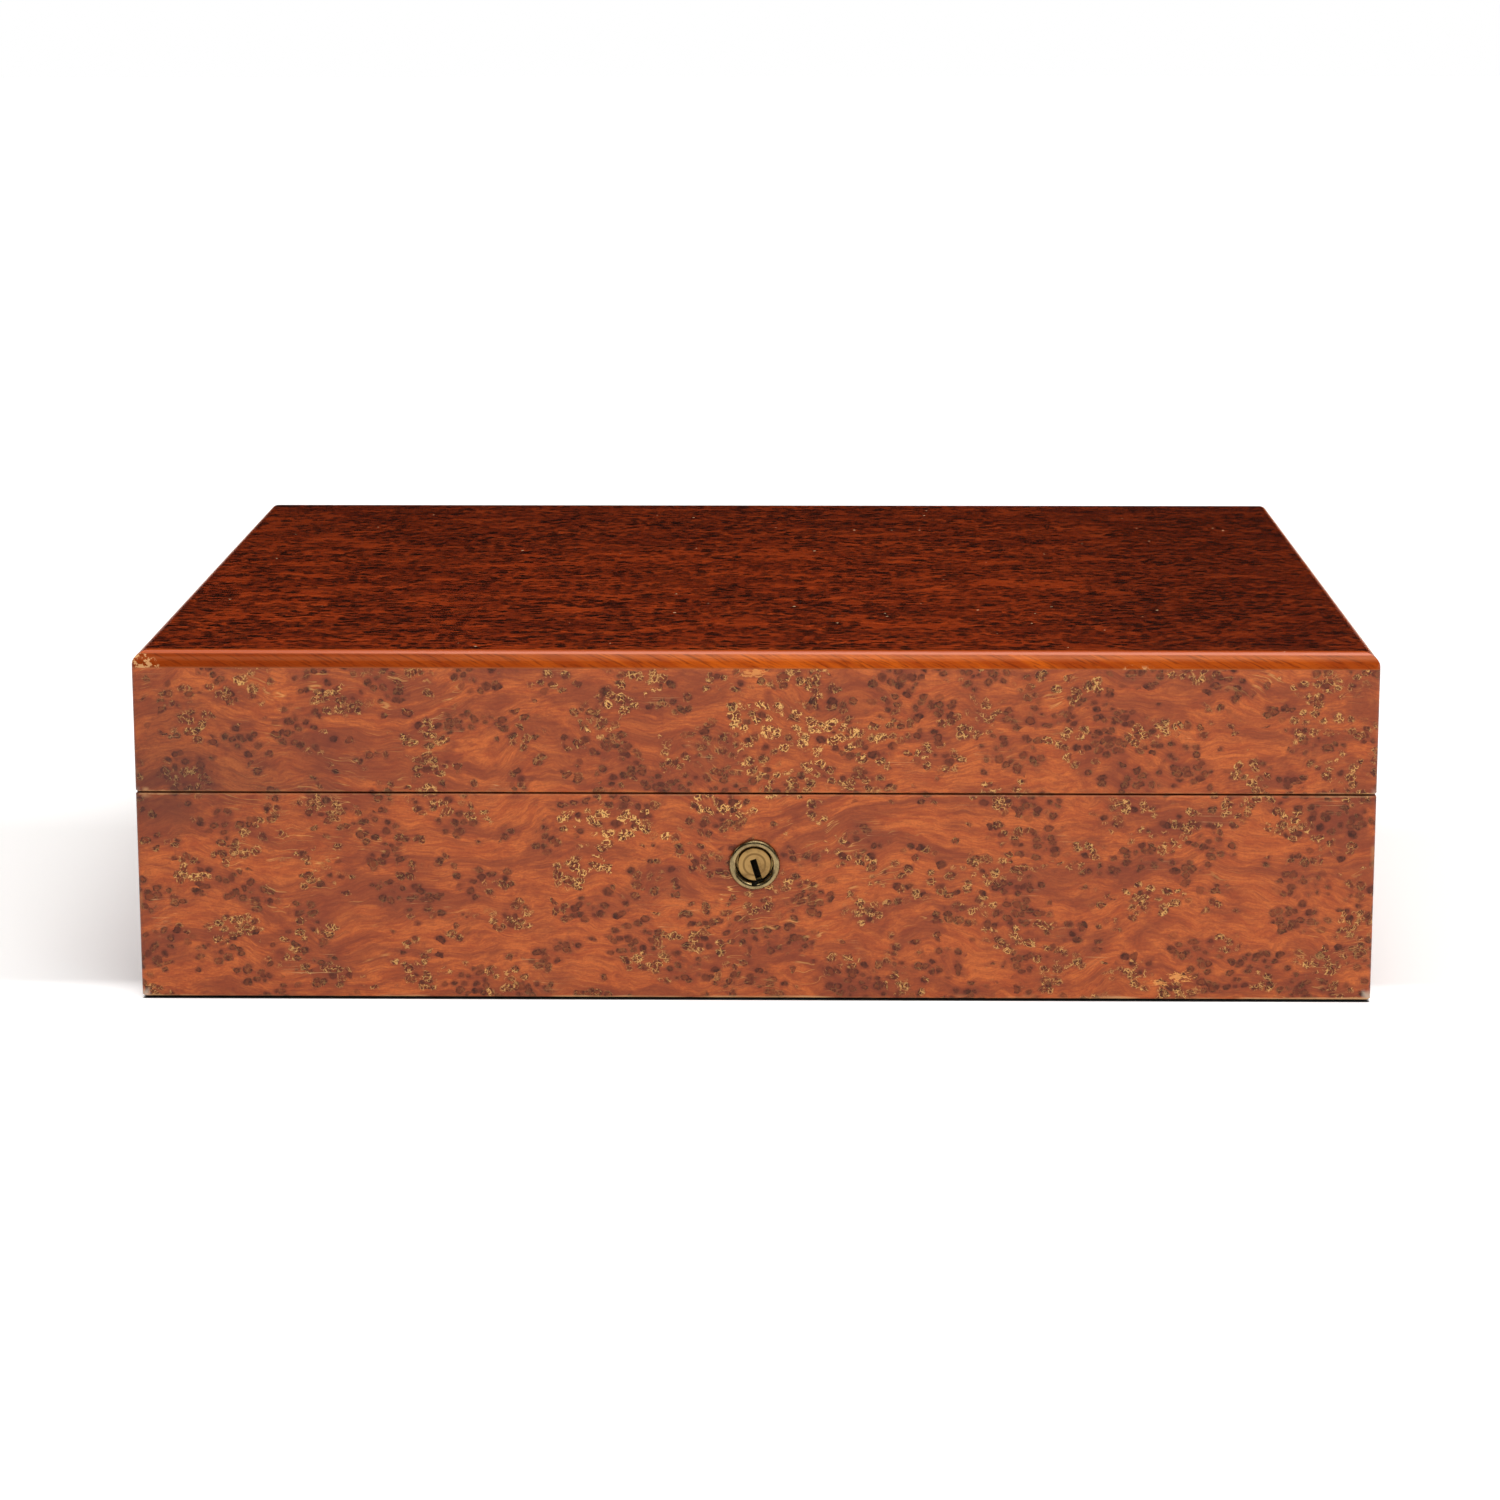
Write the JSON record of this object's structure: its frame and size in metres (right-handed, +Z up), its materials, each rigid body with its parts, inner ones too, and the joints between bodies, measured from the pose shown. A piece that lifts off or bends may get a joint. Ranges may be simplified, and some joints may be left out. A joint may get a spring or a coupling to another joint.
{
  "type": "humidor",
  "caption": "Low rectangular wooden humidor with a burl-veneered case, rounded edge strips, a stop-hinged lid, a keyed box lock, cedar lining, hygrometer and humidifier.",
  "frame": {"origin": "middle of the box's underside, on the surface it stands on", "axes": "+Z up, +X along the width to the right as seen from the front, the front faces -Y"},
  "size_m": [0.33, 0.2804, 0.0948],
  "materials": {
    "burl": "polished thuya-like burl veneer",
    "edge_wood": "polished solid wood",
    "cedar": "raw sanded cedar",
    "core_wood": "plain board",
    "baize": "felt",
    "aged_brass": "dull, worn",
    "brass": "satin",
    "dial": "printed, matt",
    "lens": "clear",
    "needle": "matt black",
    "humidifier": "moulded, matt",
    "pad": "open foam"
  },
  "bodies": {
    "base": {"baize_underlay": "baize", "base_back_liner": "cedar", "base_back_wall": "burl", "base_bottom": "core_wood", "base_floor_liner": "cedar", "base_front_liner": "cedar", "base_front_wall": "burl", "base_left_liner": "cedar", "base_left_wall": "burl", "base_right_liner": "cedar", "base_right_wall": "burl", "hinge_base_screws": "brass", "hinge_left_base_leaf": "brass", "hinge_left_pin": "brass", "hinge_right_base_leaf": "brass", "hinge_right_pin": "brass", "lock_cap": "brass", "lock_case": "brass", "lock_ring": "aged_brass", "lock_selvedge": "brass", "lock_selvedge_screws": "brass"},
    "lid": {"hinge_left_lid_leaf": "brass", "hinge_lid_screws": "brass", "hinge_right_lid_leaf": "brass", "humidifier_back_rail": "brass", "humidifier_front_rail": "brass", "humidifier_rail_screws": "brass", "hygrometer_bezel": "brass", "hygrometer_case": "brass", "hygrometer_dial": "dial", "hygrometer_lens": "lens", "lid_back_liner": "cedar", "lid_back_strip": "edge_wood", "lid_back_wall": "burl", "lid_ceiling_liner": "cedar", "lid_front_liner": "cedar", "lid_front_strip": "edge_wood", "lid_front_wall": "burl", "lid_left_liner": "cedar", "lid_left_strip": "edge_wood", "lid_left_wall": "burl", "lid_right_liner": "cedar", "lid_right_strip": "edge_wood", "lid_right_wall": "burl", "lid_top_panel": "core_wood", "lid_top_veneer": "burl", "link_plate": "brass", "link_plate_screws": "brass"},
    "key_plug": {"lock_plug": "aged_brass"},
    "bolt": {"lock_bolt": "brass"},
    "divider": {"cedar_divider": "cedar"},
    "needle": {"hygrometer_needle": "needle"},
    "humidifier": {"humidifier_case": "humidifier", "humidifier_grille": "brass", "humidifier_pad": "pad"}
  },
  "joints": [
    {"name": "lid_hinge", "type": "hinge", "parent": "base", "child": "lid", "pos_m": [0, 0.1387, 0.05685], "axis": [-1, 0, 0], "range_deg": [0, 95]},
    {"name": "key_turn", "type": "hinge", "parent": "base", "child": "key_plug", "pos_m": [0, -0.136, 0.0376], "axis": [0, -1, 0], "range_deg": [-17, 73]},
    {"name": "bolt_slide", "type": "slide", "parent": "base", "child": "bolt", "axis": [-1, 0, 0], "range_m": [-0.00085, 0.00367]},
    {"name": "divider_slide", "type": "slide", "parent": "base", "child": "divider", "axis": [1, 0, 0], "range_m": [-0.197, 0.093]},
    {"name": "humidifier_slide", "type": "slide", "parent": "lid", "child": "humidifier", "axis": [1, 0, 0], "range_m": [0, 0.1]},
    {"name": "needle_turn", "type": "hinge", "parent": "lid", "child": "needle", "pos_m": [-0.095, 0, 0.085], "axis": [0, 0, 1], "range_deg": [-189, 81]}
  ],
  "couplings": [
    {"joint": "key_turn", "follows": "bolt_slide", "rad_per_m": 347.1}
  ]
}
